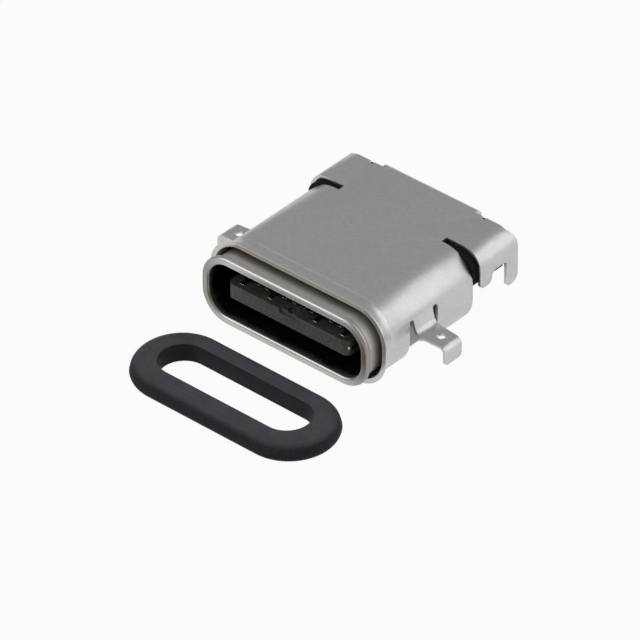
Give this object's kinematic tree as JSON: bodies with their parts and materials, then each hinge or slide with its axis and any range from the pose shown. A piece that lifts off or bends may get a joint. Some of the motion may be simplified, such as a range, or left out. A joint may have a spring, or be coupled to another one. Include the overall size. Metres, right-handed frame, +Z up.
{
  "type": "board edge charging socket with gasket",
  "caption": "Sealed board-edge receptacle for a reversible flat charging plug: drawn steel mouth tube, folded steel shell with solder legs, moulded tongue with contacts, loose rubber gasket.",
  "frame": {"origin": "middle of the plug opening, in the front plane of the mouth's lip", "axes": "+X to the right across the opening, +Y back into the socket, +Z up, away from the circuit board"},
  "size_m": [0.0126, 0.016, 0.004],
  "materials": {
    "shell_steel": "satin nickel-plated steel sheet",
    "tube_steel": "drawn steel tube, satin, with a bright rolled lip",
    "gasket_rubber": "matte moulded silicone rubber",
    "housing_plastic": "black glass-filled moulding",
    "wafer_plastic": "black moulding, slightly glossy",
    "plate_steel": "stamped steel with a thin gold flash",
    "shield_steel": "stamped steel",
    "sealant": "cured potting resin",
    "contact_gold": "gold-plated copper alloy"
  },
  "bodies": {
    "root": {"outer_shell": "shell_steel", "mouth_tube": "tube_steel", "gasket": "gasket_rubber", "housing": "housing_plastic", "upper_wafer": "wafer_plastic", "lower_wafer": "wafer_plastic", "middle_plate": "plate_steel", "upper_shield": "shield_steel", "lower_shield": "shield_steel", "sealing_compound": "sealant", "upper_contact_1": "contact_gold", "upper_contact_2": "contact_gold", "upper_contact_3": "contact_gold", "upper_contact_4": "contact_gold", "upper_contact_5": "contact_gold", "upper_contact_6": "contact_gold", "upper_contact_7": "contact_gold", "upper_contact_8": "contact_gold", "upper_contact_9": "contact_gold", "upper_contact_10": "contact_gold", "upper_contact_11": "contact_gold", "upper_contact_12": "contact_gold", "lower_contact_1": "contact_gold", "lower_contact_2": "contact_gold", "lower_contact_3": "contact_gold", "lower_contact_4": "contact_gold", "lower_contact_5": "contact_gold", "lower_contact_6": "contact_gold", "lower_contact_7": "contact_gold", "lower_contact_8": "contact_gold", "lower_contact_9": "contact_gold", "lower_contact_10": "contact_gold", "lower_contact_11": "contact_gold", "lower_contact_12": "contact_gold"}
  },
  "joints": []
}
